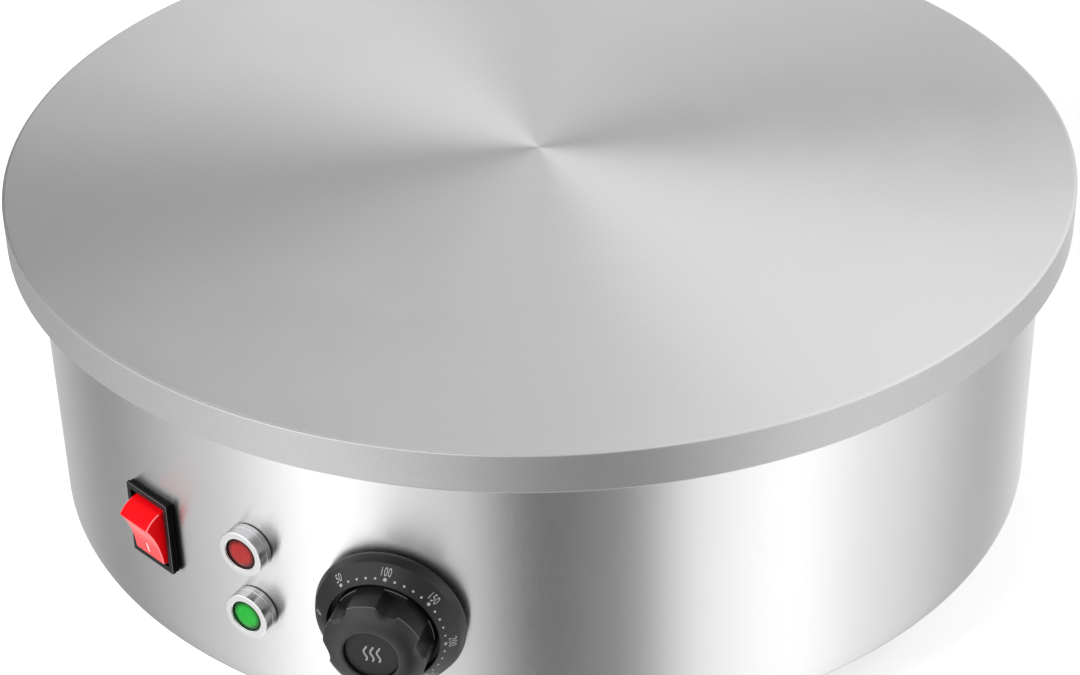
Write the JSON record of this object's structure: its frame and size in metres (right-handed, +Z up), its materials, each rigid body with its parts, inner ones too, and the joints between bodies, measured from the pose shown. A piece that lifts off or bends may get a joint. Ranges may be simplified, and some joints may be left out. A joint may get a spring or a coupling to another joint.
{
  "type": "electric griddle",
  "caption": "Round electric griddle: a thick overhanging metal plate on a sheet-metal drum, with a rocker switch, pilot lamps and a skirted thermostat knob at the front.",
  "frame": {"origin": "centre of the base, on the surface that the feet stand on", "axes": "+Z up, -Y towards the front where the controls are, +X to the right as seen from the front"},
  "size_m": [0.3999, 0.415, 0.15],
  "materials": {
    "plate_metal": "satin, fine turned grain",
    "drum_steel": "polished stainless sheet",
    "pan_steel": "plain sheet",
    "fastener_steel": "zinc plated",
    "foot_rubber": "matt moulded",
    "element_steel": "dark heat-stained tube",
    "ceramic": "glazed ceramic",
    "fibre": "ceramic fibre blanket",
    "switch_black": "gloss moulded",
    "rocker_red": "clear-tinted gloss",
    "brass": "bright",
    "lamp_chrome": "mirror",
    "lens_red": "translucent gloss",
    "lens_green": "translucent gloss",
    "black_plastic": "fine moulded texture",
    "knob_black": "semi-gloss phenolic, printed scale",
    "cap_grey": "satin inlay",
    "copper": "drawn tube",
    "wire_cover": "glass-braid sleeve"
  },
  "bodies": {
    "housing": {"griddle_plate": "plate_metal", "drum_shell": "drum_steel", "base_pan": "pan_steel", "pan_screws": "fastener_steel", "foot_front_left": "foot_rubber", "foot_front_right": "foot_rubber", "foot_rear_left": "foot_rubber", "foot_rear_right": "foot_rubber", "foot_bolts": "fastener_steel", "foot_nuts": "fastener_steel", "tie_rods": "fastener_steel", "tie_nuts": "fastener_steel", "heating_element_outer": "element_steel", "heating_element_inner": "element_steel", "element_bushes": "ceramic", "clamp_bars": "pan_steel", "clamp_studs": "fastener_steel", "clamp_nuts": "fastener_steel", "insulation_blanket": "fibre", "heat_tray": "pan_steel", "switch_frame": "switch_black", "switch_base": "switch_black", "switch_terminals": "brass", "red_lamp_ring": "lamp_chrome", "red_lamp_lens": "lens_red", "red_lamp_body": "black_plastic", "red_lamp_nut": "fastener_steel", "red_lamp_gasket": "foot_rubber", "green_lamp_ring": "lamp_chrome", "green_lamp_lens": "lens_green", "green_lamp_body": "black_plastic", "green_lamp_nut": "fastener_steel", "green_lamp_gasket": "foot_rubber", "thermostat_body": "black_plastic", "thermostat_bracket": "pan_steel", "thermostat_screws": "fastener_steel", "capillary_tube": "copper", "sensing_bulb": "copper", "bulb_clips": "pan_steel", "overheat_cutout": "black_plastic", "terminal_block": "ceramic", "terminal_screws": "brass", "earth_stud": "brass", "supply_wires": "wire_cover", "heater_wires": "wire_cover", "lamp_wires": "wire_cover", "wire_splice": "ceramic", "cable_gland": "black_plastic", "gland_cap": "black_plastic", "gland_seal": "foot_rubber", "gland_nut": "black_plastic"},
    "knob": {"knob_body": "knob_black", "knob_cap": "cap_grey", "knob_spring": "fastener_steel", "thermostat_spindle": "fastener_steel"},
    "rocker": {"switch_rocker": "rocker_red"}
  },
  "joints": [
    {"name": "knob_turn", "type": "hinge", "parent": "housing", "child": "knob", "pos_m": [-0.05221, -0.18206, 0.0744], "axis": [-0.2756, -0.9613, 0], "range_deg": [-86, 184]},
    {"name": "rocker_tilt", "type": "hinge", "parent": "housing", "child": "rocker", "pos_m": [-0.13607, -0.12958, 0.0746], "axis": [-0.6896, 0.7242, 0], "range_deg": [0, 36]}
  ]
}
